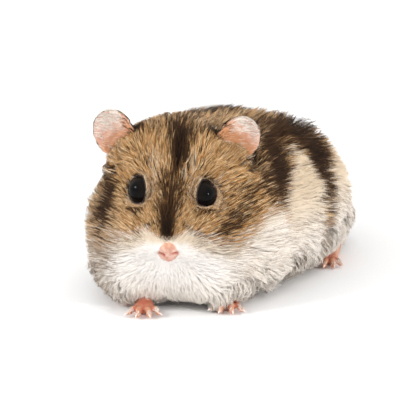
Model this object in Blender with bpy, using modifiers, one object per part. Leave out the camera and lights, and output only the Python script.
"""A Campbell's dwarf hamster at life size, crouched on four feet with its head turned to its left.

The solids have the outer shape of the living animal, out to the tips of its coat. Each body mass is a
named ball or a chain of balls; the masses are melted into one form with a voxel remesh, and that form
is parted with thin curved cuts into head, trunk, legs and tail. Metres, +Z up, the hamster faces -Y,
its own left is +X, and the origin is on the floor under the middle of the animal.
"""

import math

import bmesh
import bpy
from mathutils import Matrix, Vector

MM = 0.001

# Driving dimensions
BACK_HEIGHT = 30.8 * MM  # floor to the top of the back, coat included
HIP_HALF_WIDTH = 21.0 * MM
CHEST_HALF_WIDTH = 19.0 * MM
BELLY_HEIGHT = 11.0 * MM  # half the depth of the belly's masses
BELLY_CLEARANCE = 0.5 * MM  # floor to the lowest hair of the belly
CUT = 0.4 * MM  # width of the thin cut between two neighbouring parts
EYE_RADIUS = 2.7 * MM
EAR_HEIGHT = 9.0 * MM
EAR_WIDTH = 8.8 * MM
EAR_THICKNESS = 0.8 * MM
TOE_THICKNESS = 1.1 * MM
CLAW_THICKNESS = 0.55 * MM
CLAW_LENGTH = 1.0 * MM

# The head has a frame of its own: x to its left, y to its back, z up, and its origin between the eyes.
HEAD_PLACE = Vector((4.7, -8.9, 21.5)) * MM
HEAD_YAW = math.radians(26)
HEAD_ROLL = math.radians(2.5)
HEAD = (
    Matrix.Translation(HEAD_PLACE)
    @ Matrix.Rotation(HEAD_YAW, 4, "Z")
    @ Matrix.Rotation(HEAD_ROLL, 4, "Y")
)
EYE_PLACE = Vector((6.2, -0.6, 0.0)) * MM  # the left eye's centre, in the head's frame
SIDES = {"left": 1, "right": -1}

# Fineness of the melted forms, and the triangles that each part keeps
BODY_VOXEL = 0.75 * MM
LIMB_VOXEL = 0.24 * MM
CUTTER_VOXEL = 0.5 * MM
TRIANGLES = {
    "body": 2500,
    "nose": 200,
    "ear": 280,
    "foreleg": 460,
    "hindleg": 520,
    "tail": 100,
    "cutter": 240,
}


def mm(x, y, z):
    """A point or a set of radii given in millimetres."""
    return Vector((x, y, z)) * MM


def cube(x):
    """Three equal radii given in millimetres."""
    return mm(x, x, x)


def mirrored(point, side):
    """A point of the left side taken to the side with this sign."""
    return Vector((point.x * side, point.y, point.z))


# ---------------------------------------------------------------- building blocks


class Form:
    """A mass of overlapping balls, which is melted into one smooth skin."""

    def __init__(self, name, frame=None, segments=24):
        self.name = name
        self.frame = frame or Matrix.Identity(4)
        self.points, self.faces = unit_ball(segments)
        self.places = []

    def ball(self, centre, radii, yaw=0.0):
        """Adds an ellipsoid; yaw turns it about the vertical."""
        scale = Matrix.Diagonal((*radii, 1.0))
        turn = Matrix.Rotation(yaw, 4, "Z")
        self.places.append(self.frame @ Matrix.Translation(centre) @ turn @ scale)

    def pair(self, centre, radii):
        """Adds an ellipsoid given for the left side, and its mirror image."""
        for side in SIDES.values():
            self.ball(mirrored(centre, side), radii)

    def chain(self, stations, steps=6):
        """Adds ellipsoids along stations of (centre, radii, yaw), with smooth stages between."""
        ends = [stations[0], *stations, stations[-1]]
        for i in range(len(stations) - 1):
            last = i == len(stations) - 2
            for step in range(steps + last):
                t = step / steps
                stage = (
                    smooth_between(*(ends[i + k][field] for k in range(4)), t)
                    for field in range(3)
                )
                self.ball(*stage)

    def mesh(self):
        mesh = bpy.data.meshes.new(self.name)
        points = [place @ p for place in self.places for p in self.points]
        count = len(self.points)
        faces = [
            [index + count * k for index in face]
            for k in range(len(self.places))
            for face in self.faces
        ]
        mesh.from_pydata(points, [], faces)
        return mesh

    def solid(self):
        """The balls as they are; only for a form of one ball."""
        return new_object(self.name, self.mesh())

    def melted(self, voxel, smoothing, triangles):
        return thin_out(melt(self.solid(), voxel, smoothing), triangles)


def unit_ball(segments):
    bm = bmesh.new()
    bmesh.ops.create_uvsphere(bm, u_segments=segments, v_segments=segments // 2, radius=1.0)
    points = [v.co.copy() for v in bm.verts]
    faces = [[v.index for v in f.verts] for f in bm.faces]
    bm.free()
    return points, faces


def smooth_between(a, b, c, d, t):
    """Catmull-Rom value at t between b and c."""
    return b + 0.5 * t * (
        c - a + t * (2 * a - 5 * b + 4 * c - d + t * (3 * (b - c) + d - a))
    )


def new_object(name, mesh):
    obj = bpy.data.objects.new(name, mesh)
    bpy.context.scene.collection.objects.link(obj)
    return obj


def settle(obj):
    """Makes the object's mesh what its modifiers show, and clears them."""
    bpy.context.view_layer.update()
    graph = bpy.context.evaluated_depsgraph_get()
    mesh = bpy.data.meshes.new_from_object(obj.evaluated_get(graph), depsgraph=graph)
    old = obj.data
    obj.modifiers.clear()
    obj.data = mesh
    bpy.data.meshes.remove(old)
    return obj


def melt(obj, voxel, smoothing):
    """Joins overlapping shapes into one smooth skin."""
    remesh = obj.modifiers.new("melt", "REMESH")
    remesh.mode = "VOXEL"
    remesh.voxel_size = voxel
    smooth = obj.modifiers.new("soften", "SMOOTH")
    smooth.factor = 0.5
    smooth.iterations = smoothing
    return settle(obj)


def swollen(obj, amount):
    """A copy of a shape that stands out by amount all over, for use as a cutter."""
    copy = copy_of(obj, obj.name + "_cutter")
    displace = copy.modifiers.new("swell", "DISPLACE")
    displace.mid_level = 0.0
    displace.strength = amount
    return thin_out(melt(copy, CUTTER_VOXEL, smoothing=0), TRIANGLES["cutter"])


def combine(obj, other, operation, solver="EXACT"):
    """Cuts, joins or intersects obj with other, which is used up."""
    boolean = obj.modifiers.new(operation.lower(), "BOOLEAN")
    boolean.operation = operation
    boolean.solver = solver
    boolean.object = other
    settle(obj)
    bpy.data.objects.remove(other)
    return obj


def copy_of(obj, name):
    return new_object(name, obj.data.copy())


def single_ball(name, centre, radii, frame=None, segments=16):
    form = Form(name, frame, segments)
    form.ball(centre, radii)
    return form.solid()


def below_floor(name):
    size = 200 * MM
    bm = bmesh.new()
    place = Matrix.Translation((0, 0, -size / 2)) @ Matrix.Scale(size, 4)
    bmesh.ops.create_cube(bm, size=1.0, matrix=place)
    mesh = bpy.data.meshes.new(name)
    bm.to_mesh(mesh)
    bm.free()
    return new_object(name, mesh)


def thin_out(obj, triangles):
    """Keeps about this many triangles, where the form needs them most."""
    obj.data.calc_loop_triangles()
    count = len(obj.data.loop_triangles)
    if count <= triangles:
        return obj
    triangulate = obj.modifiers.new("triangles", "TRIANGULATE")
    triangulate.quad_method = "BEAUTY"
    decimate = obj.modifiers.new("thin_out", "DECIMATE")
    decimate.ratio = triangles / count
    return settle(obj)


def material(name, colour, roughness):
    made = bpy.data.materials.new(name)
    made.use_nodes = True
    shader = made.node_tree.nodes["Principled BSDF"]
    shader.inputs["Base Color"].default_value = (*colour, 1.0)
    shader.inputs["Roughness"].default_value = roughness
    shader.inputs["Metallic"].default_value = 0.0
    return made


# ---------------------------------------------------------------- head and body


def add_back(form):
    """The back falls gently from the shoulders to a round rump."""
    top = BACK_HEIGHT
    form.chain(
        [
            (mm(0.0, 38.0, 14.0), mm(13.5, 12.0, 11.5), math.radians(0)),
            (mm(0.0, 30.0, 15.5), mm(15.0, 15.0, 0) + Vector((0, 0, top - 16.8 * MM)), math.radians(0)),
            (mm(0.0, 19.0, 16.5), mm(15.0, 14.0, 0) + Vector((0, 0, top - 16.2 * MM)), math.radians(3)),
            (mm(1.0, 8.0, 17.5), mm(15.0, 12.0, 0) + Vector((0, 0, top - 16.8 * MM)), math.radians(12)),
            (mm(2.6, -1.0, 18.0), mm(15.5, 11.0, 0) + Vector((0, 0, top - 17.5 * MM)), math.radians(20)),
        ]
    )


def add_belly(form):
    """Wide flanks slump to just above the floor; the chest turns to the left with the head."""
    hip = HIP_HALF_WIDTH
    chest = CHEST_HALF_WIDTH
    low = BELLY_CLEARANCE + BELLY_HEIGHT
    masses = [
        (0.0, 37.0, 0.78 * hip, 14.0, 0),
        (0.0, 29.0, 1.00 * hip, 16.0, 0),
        (0.5, 14.0, 0.96 * hip, 15.0, 8),
        (2.5, 2.0, 1.00 * chest, 12.0, 18),
        (5.0, -9.0, 0.80 * chest, 8.8, 26),
    ]
    form.chain(
        [
            (Vector((x * MM, y * MM, low)), Vector((half, length * MM, BELLY_HEIGHT)), math.radians(yaw))
            for x, y, half, length, yaw in masses
        ]
    )


def add_skirt(form):
    """Long hair hangs low on the flanks and chest and squares off the underside."""
    height = 5.8 * MM
    low = BELLY_CLEARANCE + height
    for side in SIDES.values():
        masses = [
            (10.8 * side, 38.5, 7.2, 10.0),
            (13.3 * side, 27.0, 7.4, 10.0),
            (13.2 * side + 1.0, 13.0, 7.0, 10.0),
            (11.6 * side + 2.4, 3.0 + 4.0 * side, 7.0, 8.0),
            (6.6 * side + 4.7, -9.4 + 2.5 * side, 7.0, 7.8),
        ]
        form.chain(
            [
                (Vector((x * MM, y * MM, low)), Vector((half * MM, length * MM, height)), 0.0)
                for x, y, half, length in masses
            ],
            steps=4,
        )


def add_head(form):
    """A wide skull with full cheeks and a short blunt muzzle, in the head's own frame."""
    head = Form("head_masses", HEAD)
    head.ball(mm(0, 8.6, 1.8), mm(12.4, 11.5, 11.2))  # cranium
    head.ball(mm(0, 2.5, 3.0), mm(7.2, 7.0, 7.0))  # forehead
    head.ball(mm(0, -2.2, -3.2), mm(4.9, 5.6, 5.4))  # bridge of the nose
    head.ball(mm(0, -5.4, -7.0), mm(5.0, 5.2, 4.4))  # muzzle
    head.ball(mm(0, -3.0, -10.4), mm(6.0, 5.4, 3.4))  # chin
    head.ball(mm(0, 9.0, -5.0), mm(15.0, 9.5, 11.5))  # neck
    head.pair(mm(8.6, 6.4, -5.8), mm(7.7, 9.2, 9.2))  # cheek
    head.pair(mm(4.6, -0.4, -6.6), mm(4.0, 5.0, 4.6))  # side of the muzzle
    head.pair(mm(4.9, 2.6, 4.0), mm(4.6, 4.6, 3.8))  # brow
    head.pair(mm(2.7, -6.6, -8.6), mm(3.4, 3.6, 2.9))  # whisker pad
    form.places += head.places


def body_form():
    form = Form("body_form")
    add_back(form)
    add_belly(form)
    add_skirt(form)
    add_head(form)
    return form.melted(BODY_VOXEL, 24, TRIANGLES["body"])


def head_region(margin=0.0):
    """The ball that parts the head from the trunk behind the ears and under the chin."""
    radii = mm(19.8, 16.4, 15.8) + Vector((margin,) * 3)
    return single_ball("head_region", mm(0, 3.0, -0.2), radii, HEAD, 24)


def nose():
    """The bare tip of the muzzle: a rounded pad over two nostril wings."""
    form = Form("nose", HEAD, segments=20)
    form.ball(mm(0, -9.2, -7.9), mm(1.9, 1.7, 1.4))
    form.ball(mm(0, -8.9, -9.4), mm(1.1, 1.5, 1.1))
    form.pair(mm(1.25, -8.8, -8.5), mm(1.1, 1.5, 1.1))
    return form.melted(LIMB_VOXEL, 3, TRIANGLES["nose"])


def eye(name, side):
    mesh = bpy.data.meshes.new(name)
    bm = bmesh.new()
    place = HEAD @ Matrix.Translation(mirrored(EYE_PLACE, side))
    bmesh.ops.create_icosphere(bm, subdivisions=2, radius=EYE_RADIUS, matrix=place)
    bm.to_mesh(mesh)
    bm.free()
    return new_object(name, mesh)


def eye_socket(side):
    """The eyeball's room, opened towards the front and side as far as the lids open."""
    centre = mirrored(EYE_PLACE, side)
    way = mirrored(mm(0.72, -0.66, 0.22), side)
    room = single_ball("eye_socket", centre, Vector((EYE_RADIUS + CUT,) * 3), HEAD, 16)
    opening = single_ball("opening", centre + 2.2 * way, Vector((EYE_RADIUS,) * 3), HEAD, 16)
    return combine(room, opening, "UNION")


# ---------------------------------------------------------------- ears


def ear_frame(side):
    """Places an ear: z runs from its root to its tip, and -y is the way that the cup opens."""
    lean, sweep, turn = math.radians(27), math.radians(-4), math.radians(24)
    root = mirrored(mm(8.6, 8.2, 4.4), side)
    return (
        HEAD
        @ Matrix.Translation(root)
        @ Matrix.Rotation(lean * side, 4, "Y")
        @ Matrix.Rotation(sweep, 4, "X")
        @ Matrix.Rotation(turn * side, 4, "Z")
    )


def ear_half_width(v):
    """The outline is a rounded leaf: narrow at the root, widest above the middle, round at the tip."""
    half = 0.5 * EAR_WIDTH * (0.42 + 0.58 * math.sin(0.5 * math.pi * min(1.0, v / 0.55)))
    if v > 0.55:
        half *= math.sqrt(max(0.0, 1 - ((v - 0.55) / 0.45) ** 2)) * 0.92 + 0.08
    return half


def ear(name, side):
    """A thin rounded cup: an open curved sheet, thickened, on a short root."""
    across, along = 12, 12
    points, faces = [], []
    for j in range(along + 1):
        v = j / along
        for i in range(across + 1):
            u = 2 * i / across - 1
            cup = 3.0 * MM * (0.25 + 0.75 * (1 - v)) * u * u + 0.9 * MM * v * v
            points.append((u * ear_half_width(v), -cup, v * EAR_HEIGHT))
    row = across + 1
    for j in range(along):
        for i in range(across):
            corner = j * row + i
            faces.append((corner, corner + 1, corner + 1 + row, corner + row))
    mesh = bpy.data.meshes.new(name)
    mesh.from_pydata(points, [], faces)
    sheet = new_object(name, mesh)
    solidify = sheet.modifiers.new("thickness", "SOLIDIFY")
    solidify.thickness = EAR_THICKNESS
    solidify.offset = 0.0
    settle(sheet)
    join_balls(sheet, [(mm(0, 0.6, -0.4), mm(2.9, 1.9, 3.0))])
    sheet.data.transform(ear_frame(side))
    return thin_out(melt(sheet, LIMB_VOXEL, smoothing=4), TRIANGLES["ear"])


def join_balls(obj, balls):
    form = Form("balls")
    for centre, radii in balls:
        form.ball(centre, radii)
    bm = bmesh.new()
    bm.from_mesh(obj.data)
    bm.from_mesh(form.mesh())
    bm.to_mesh(obj.data)
    bm.free()


# ---------------------------------------------------------------- legs and tail


def add_toe(form, root, angle, length):
    """One toe rises over a knuckle, comes down on its pad and ends in a small curved claw."""
    way = Vector((math.sin(angle), -math.cos(angle), 0))
    knuckle = root + way * 0.45 * length + mm(0, 0, 0.35)
    pad = root + way * length
    pad.z = 0.6 * TOE_THICKNESS
    radius = Vector((TOE_THICKNESS / 2,) * 3)
    form.chain([(root, radius * 1.1, 0.0), (knuckle, radius, 0.0), (pad, radius, 0.0)], steps=4)
    claw = Vector((CLAW_THICKNESS / 2,) * 3)
    claw_root = pad + way * 0.3 * TOE_THICKNESS + mm(0, 0, 0.1)
    claw_tip = claw_root + way * CLAW_LENGTH
    claw_tip.z = claw.z
    form.chain([(claw_root, claw * 1.15, 0.0), (claw_tip, claw, 0.0)], steps=6)


def foot_frame(place, yaw):
    return Matrix.Translation(place) @ Matrix.Rotation(yaw, 4, "Z")


def foreleg_limb(name, place, yaw):
    """Forearm, wrist, palm and four toes."""
    form = Form(name, foot_frame(place, yaw), segments=16)
    form.ball(mm(0, 0.4, 1.0), mm(1.9, 2.1, 1.25))  # palm
    form.chain(
        [
            (mm(0, 1.2, 1.6), cube(1.35), 0.0),
            (mm(0, 2.6, 3.6), cube(1.6), 0.0),
            (mm(0, 4.4, 6.6), cube(2.6), 0.0),
        ]
    )
    for offset, angle, length in ((-1.35, -38, 2.3), (-0.5, -12, 2.9), (0.5, 12, 2.9), (1.35, 38, 2.3)):
        add_toe(form, mm(offset, -0.9, 1.0), math.radians(angle), length * MM)
    return form.melted(LIMB_VOXEL, 2, TRIANGLES["foreleg"])


def hindleg_limb(name, place, yaw):
    """Ankle, long sole and five toes."""
    form = Form(name, foot_frame(place, yaw), segments=16)
    form.chain(
        [
            (mm(0, 7.0, 1.3), mm(1.5, 1.6, 1.5), 0.0),
            (mm(0, 3.5, 1.1), mm(1.6, 1.8, 1.3), 0.0),
            (mm(0, 0.3, 1.0), mm(2.1, 1.9, 1.2), 0.0),
        ]
    )
    form.chain(
        [
            (mm(0, 6.8, 1.8), cube(1.6), 0.0),
            (mm(-0.3, 5.5, 4.5), cube(2.4), 0.0),
            (mm(-0.6, 4.0, 7.0), cube(3.2), 0.0),
        ]
    )
    for offset, angle, length in ((-1.6, -42, 2.0), (-0.9, -18, 2.8), (0, 0, 3.1), (0.9, 18, 2.8), (1.6, 42, 2.0)):
        add_toe(form, mm(offset, -0.8, 0.95), math.radians(angle), length * MM)
    return form.melted(LIMB_VOXEL, 2, TRIANGLES["hindleg"])


def tail_limb():
    """A stub no longer than its own fur, low on the rump."""
    form = Form("tail", segments=16)
    form.chain(
        [
            (mm(0, 47.0, 8.0), cube(3.0), 0.0),
            (mm(0.3, 50.4, 6.6), cube(2.3), 0.0),
            (mm(0.6, 52.8, 5.8), cube(1.4), 0.0),
        ]
    )
    return form.melted(LIMB_VOXEL, 4, TRIANGLES["tail"])


# For each leg: its maker, the place and yaw of its foot, and the ball that parts its coat from the trunk
LEGS = {
    "foreleg_left": (foreleg_limb, mm(15.0, -6.5, 0), 22, mm(16.0, -1.0, 7.5), mm(6.5, 8.5, 8.5)),
    "foreleg_right": (foreleg_limb, mm(3.0, -16.0, 0), 28, mm(-3.5, -10.5, 7.0), mm(7.5, 8.0, 7.5)),
    "hindleg_left": (hindleg_limb, mm(18.3, 28.0, 0), 16, mm(14.0, 32.0, 12.0), mm(10.5, 13.0, 12.5)),
    "hindleg_right": (hindleg_limb, mm(-18.0, 28.0, 0), -16, mm(-14.0, 32.0, 12.0), mm(10.5, 13.0, 12.5)),
}


def legs_from(trunk):
    """Each leg is its limb with the mass of coat over it, which is parted from the trunk."""
    made = {}
    for name, (maker, place, yaw, centre, radii) in LEGS.items():
        limb = maker(name, place, math.radians(yaw))
        room = swollen(limb, CUT)
        combine(limb, head_region(CUT), "DIFFERENCE")
        haunch = combine(copy_of(trunk, "haunch"), single_ball("region", centre, radii), "INTERSECT")
        combine(trunk, single_ball("opening", centre, radii + Vector((CUT,) * 3)), "DIFFERENCE")
        combine(trunk, room, "DIFFERENCE")
        # The exact solver leaves open edges where the head's cut meets the haunch's.
        combine(limb, haunch, "UNION", solver="MANIFOLD")
        combine(limb, below_floor("floor"), "DIFFERENCE", solver="MANIFOLD")
        made[name] = limb
    return made


# ---------------------------------------------------------------- the animal


def build():
    for obj in list(bpy.data.objects):
        bpy.data.objects.remove(obj)
    coat = material("agouti_coat", (0.30, 0.19, 0.10), 0.85)
    pale_coat = material("pale_coat", (0.80, 0.74, 0.66), 0.85)
    bare_skin = material("bare_skin", (0.80, 0.42, 0.34), 0.55)
    ear_skin = material("ear_skin", (0.78, 0.50, 0.40), 0.6)
    eye_black = material("eye_black", (0.008, 0.007, 0.007), 0.08)
    looks = {
        "head": coat,
        "trunk": coat,
        "tail": pale_coat,
        "nose": bare_skin,
        "eye": eye_black,
        "ear": ear_skin,
        "foreleg": pale_coat,
        "hindleg": pale_coat,
    }

    body = body_form()
    head = combine(copy_of(body, "head"), head_region(), "INTERSECT")
    trunk = combine(body, head_region(CUT), "DIFFERENCE")
    trunk.name = "trunk"
    parts = {"head": head, "trunk": trunk, "nose": nose()}
    combine(head, swollen(parts["nose"], CUT), "DIFFERENCE")
    for label, side in SIDES.items():
        combine(head, eye_socket(side), "DIFFERENCE")
        parts["eye_" + label] = eye("eye_" + label, side)
        parts["ear_" + label] = ear("ear_" + label, side)
        combine(head, swollen(parts["ear_" + label], CUT), "DIFFERENCE")
        combine(trunk, swollen(parts["ear_" + label], CUT), "DIFFERENCE")
    parts.update(legs_from(trunk))
    parts["tail"] = tail_limb()
    combine(trunk, swollen(parts["tail"], CUT), "DIFFERENCE")

    for name, obj in parts.items():
        obj.data.materials.clear()
        obj.data.materials.append(looks[name.split("_")[0]])
        obj.data.shade_smooth()
        obj.data.set_sharp_from_angle(angle=math.radians(40))
    centre_on_floor(parts.values())
    collect(parts.values(), "dwarf_hamster")


def centre_on_floor(objects):
    """Moves the animal so that the origin is on the floor, under the middle of its outer size."""
    corners = [v.co for obj in objects for v in obj.data.vertices]
    low, high = (Vector([edge(c[k] for c in corners) for k in range(3)]) for edge in (min, max))
    move = Matrix.Translation((-(low.x + high.x) / 2, -(low.y + high.y) / 2, 0.0))
    for obj in objects:
        obj.data.transform(move)


def collect(objects, name):
    group = bpy.data.collections.new(name)
    bpy.context.scene.collection.children.link(group)
    for obj in objects:
        bpy.context.scene.collection.objects.unlink(obj)
        group.objects.link(obj)


build()
